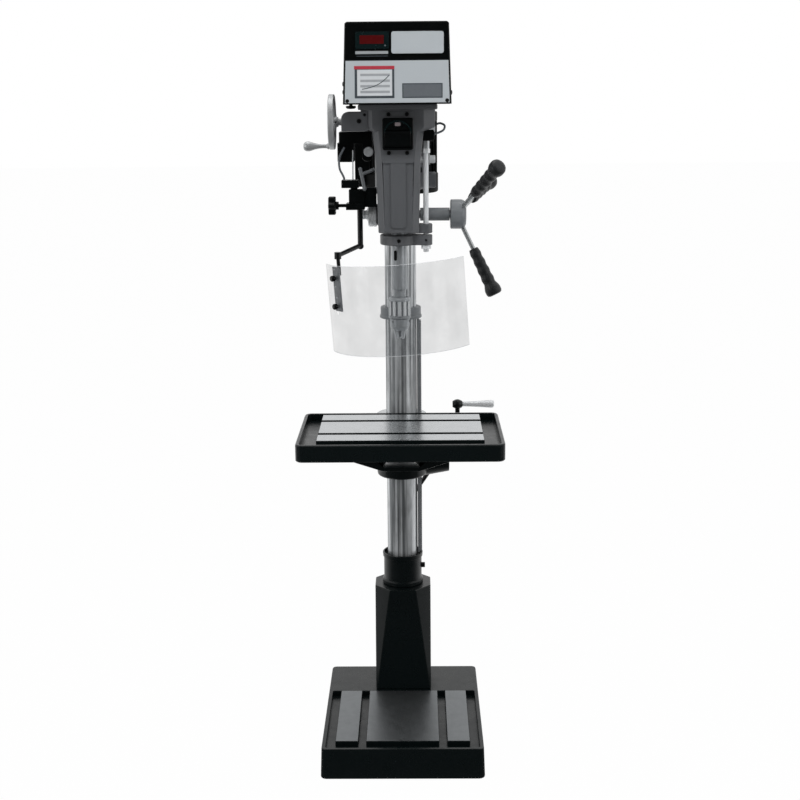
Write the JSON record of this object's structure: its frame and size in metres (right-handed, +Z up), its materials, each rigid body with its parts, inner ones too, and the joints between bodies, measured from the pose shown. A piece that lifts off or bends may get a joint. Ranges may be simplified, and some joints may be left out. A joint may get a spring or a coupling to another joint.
{
  "type": "drill press",
  "caption": "Floor-standing variable-speed drill press with a cast base, round column, rack-raised table, geared feed, belt head and a clear chuck guard.",
  "frame": {"origin": "middle of the foot of the base, on the floor", "axes": "+X to the operator's right, +Y to the back, +Z up along the column"},
  "size_m": [0.494, 0.6925, 1.8016],
  "materials": {
    "black_casting": "semi-gloss black enamel",
    "grey_casting": "mid-grey enamel",
    "machined_steel": "ground and oiled",
    "bright_steel": "plated",
    "zinc_steel": "zinc plated",
    "aluminium": "satin",
    "black_sheet": "fine textured black paint",
    "black_steel": "black oxide",
    "light_panel": "matt light grey",
    "black_plastic": "moulded",
    "start_button": "moulded",
    "black_rubber": "moulded",
    "clear_guard": "clear polycarbonate"
  },
  "bodies": {
    "stand": {"base": "black_casting", "pedestal": "black_casting", "column_flange": "black_casting", "flange_screw": "zinc_steel", "column": "machined_steel", "rack_top_ring": "grey_casting", "head_casting": "grey_casting", "switch_body": "black_plastic", "feed_sleeve": "grey_casting", "return_spring_cap": "zinc_steel", "return_spring": "machined_steel", "motor": "black_sheet", "motor_plate": "black_sheet", "drive_belt": "black_rubber", "cover_pan": "black_sheet", "belt_cover": "black_sheet", "front_panel": "light_panel", "display_housing": "black_plastic", "speed_gearbox": "grey_casting", "terminal_box": "black_plastic", "guard_block": "black_steel", "interlock_cable": "black_rubber", "side_cable": "black_rubber"},
    "rack_body": {"rack": "machined_steel"},
    "table_body": {"table": "black_casting", "table_bracket": "black_casting"},
    "crank_body": {"crank_shaft": "machined_steel", "crank_arm": "zinc_steel"},
    "crank_grip": {"crank_handle": "aluminium"},
    "lift_gear": {"lift_pinion": "machined_steel"},
    "table_lock": {"table_lock_lever": "black_steel"},
    "quill_body": {"quill": "machined_steel", "quill_bearing": "machined_steel", "quill_collar": "grey_casting", "stop_rod": "bright_steel"},
    "stop_nut_body": {"stop_nut": "zinc_steel"},
    "spindle_body": {"spindle": "machined_steel", "chuck_body": "machined_steel"},
    "sleeve_body": {"chuck_sleeve": "machined_steel"},
    "jaw_body_1": {"chuck_jaw_1": "machined_steel"},
    "jaw_body_2": {"chuck_jaw_2": "machined_steel"},
    "jaw_body_3": {"chuck_jaw_3": "machined_steel"},
    "feed_body": {"feed_shaft": "machined_steel", "feed_hub": "machined_steel", "feed_grip_1": "black_rubber", "feed_grip_2": "black_rubber", "feed_grip_3": "black_rubber"},
    "quill_lock": {"quill_lock_lever": "bright_steel"},
    "spindle_sheave": {"spindle_pulley": "machined_steel"},
    "motor_sheave": {"motor_pulley": "machined_steel"},
    "speed_body": {"speed_wheel": "bright_steel"},
    "speed_grip": {"wheel_handle": "bright_steel"},
    "start_body": {"start_button": "start_button"},
    "stop_body": {"stop_paddle": "black_plastic"},
    "guard_body": {"guard_rod": "black_steel", "shield_strip": "black_steel", "shield_screw_1": "black_plastic", "shield_screw_2": "black_plastic"},
    "shield_body": {"shield": "clear_guard"},
    "guard_clamp": {"guard_knob": "black_plastic"}
  },
  "joints": [
    {"name": "table_swing", "type": "hinge", "parent": "stand", "child": "rack_body", "pos_m": [0, 0.165, 0.76], "axis": [0, 0, 1], "range_deg": [-90, 90]},
    {"name": "table_lift", "type": "slide", "parent": "rack_body", "child": "table_body", "axis": [0, 0, 1], "range_m": [-0.19, 0.05]},
    {"name": "crank_turn", "type": "hinge", "parent": "table_body", "child": "crank_body", "pos_m": [0, 0.215, 0.745], "axis": [1, 0, 0], "range_deg": [-2300, 620]},
    {"name": "crank_handle_spin", "type": "hinge", "parent": "crank_body", "child": "crank_grip", "pos_m": [0.2, 0.215, 0.84], "axis": [1, 0, 0], "continuous": true},
    {"name": "lift_gear_turn", "type": "hinge", "parent": "table_body", "child": "lift_gear", "pos_m": [0.0678, 0.165, 0.7154], "axis": [0, 1, 0], "range_deg": [-200, 720]},
    {"name": "table_lock_turn", "type": "hinge", "parent": "table_body", "child": "table_lock", "pos_m": [0.093, 0.251, 0.671], "axis": [0, 1, 0], "range_deg": [-40, 40]},
    {"name": "quill_feed", "type": "slide", "parent": "stand", "child": "quill_body", "axis": [0, 0, -1], "range_m": [0, 0.15], "stiffness_N_per_m": 500, "springref_m": -0.3},
    {"name": "feed_turn", "type": "hinge", "parent": "stand", "child": "feed_body", "pos_m": [0, -0.027, 1.363], "axis": [1, 0, 0], "range_deg": [0, 466]},
    {"name": "quill_lock_turn", "type": "hinge", "parent": "stand", "child": "quill_lock", "pos_m": [-0.058, -0.0926, 1.4725], "axis": [-0.9222, -0.1487, -0.357], "range_deg": [-20, 40]},
    {"name": "stop_nut_turn", "type": "hinge", "parent": "quill_body", "child": "stop_nut_body", "pos_m": [0.064, -0.08, 1.515], "axis": [0, 0, 1], "continuous": true},
    {"name": "spindle_spin", "type": "hinge", "parent": "quill_body", "child": "spindle_body", "pos_m": [0, -0.065, 1.3], "axis": [0, 0, -1], "continuous": true},
    {"name": "spindle_sheave_spin", "type": "hinge", "parent": "stand", "child": "spindle_sheave", "pos_m": [0, -0.065, 1.68], "axis": [0, 0, -1], "continuous": true},
    {"name": "motor_sheave_spin", "type": "hinge", "parent": "stand", "child": "motor_sheave", "pos_m": [0, 0.333, 1.68], "axis": [0, 0, -1], "continuous": true},
    {"name": "chuck_sleeve_turn", "type": "hinge", "parent": "spindle_body", "child": "sleeve_body", "pos_m": [0, -0.065, 1.14], "axis": [0, 0, 1], "range_deg": [0, 540]},
    {"name": "jaw_slide_1", "type": "slide", "parent": "spindle_body", "child": "jaw_body_1", "axis": [0, 0.2419, 0.9703], "range_m": [0, 0.011]},
    {"name": "jaw_slide_2", "type": "slide", "parent": "spindle_body", "child": "jaw_body_2", "axis": [-0.2095, -0.121, 0.9703], "range_m": [0, 0.011]},
    {"name": "jaw_slide_3", "type": "slide", "parent": "spindle_body", "child": "jaw_body_3", "axis": [0.2095, -0.121, 0.9703], "range_m": [0, 0.011]},
    {"name": "speed_wheel_turn", "type": "hinge", "parent": "stand", "child": "speed_body", "pos_m": [-0.153, -0.085, 1.582], "axis": [1, 0, 0], "range_deg": [-360, 360]},
    {"name": "speed_handle_spin", "type": "hinge", "parent": "speed_body", "child": "speed_grip", "pos_m": [-0.185, -0.085, 1.527], "axis": [1, 0, 0], "continuous": true},
    {"name": "start_press", "type": "slide", "parent": "stand", "child": "start_body", "axis": [0, 1, 0], "range_m": [0, 0.003], "stiffness_N_per_m": 700, "springref_m": -0.002},
    {"name": "stop_press", "type": "hinge", "parent": "stand", "child": "stop_body", "pos_m": [0, -0.1403, 1.525], "axis": [-1, 0, 0], "range_deg": [0, 5], "stiffness_Nm_per_rad": 0.6, "springref_deg": -4.58},
    {"name": "guard_swing", "type": "hinge", "parent": "stand", "child": "guard_body", "pos_m": [-0.092, -0.065, 1.34], "axis": [0, 0, -1], "range_deg": [0, 100]},
    {"name": "shield_height", "type": "slide", "parent": "guard_body", "child": "shield_body", "axis": [-0.068, 0, 0.9977], "range_m": [-0.014, 0.014]},
    {"name": "guard_knob_turn", "type": "hinge", "parent": "stand", "child": "guard_clamp", "pos_m": [-0.14, -0.065, 1.388], "axis": [1, 0, 0], "range_deg": [-90, 90]}
  ],
  "couplings": [
    {"joint": "feed_turn", "follows": "quill_feed", "rad_per_m": 54.054},
    {"joint": "crank_turn", "follows": "table_lift", "rad_per_m": 209.44},
    {"joint": "lift_gear_turn", "follows": "table_lift", "rad_per_m": -64.103},
    {"joint": "spindle_sheave_spin", "follows": "spindle_spin", "ratio": 1},
    {"joint": "motor_sheave_spin", "follows": "spindle_spin", "ratio": 1},
    {"joint": "jaw_slide_1", "follows": "chuck_sleeve_turn", "m_per_rad": 0.0011565},
    {"joint": "jaw_slide_2", "follows": "chuck_sleeve_turn", "m_per_rad": 0.0011565},
    {"joint": "jaw_slide_3", "follows": "chuck_sleeve_turn", "m_per_rad": 0.0011565}
  ]
}
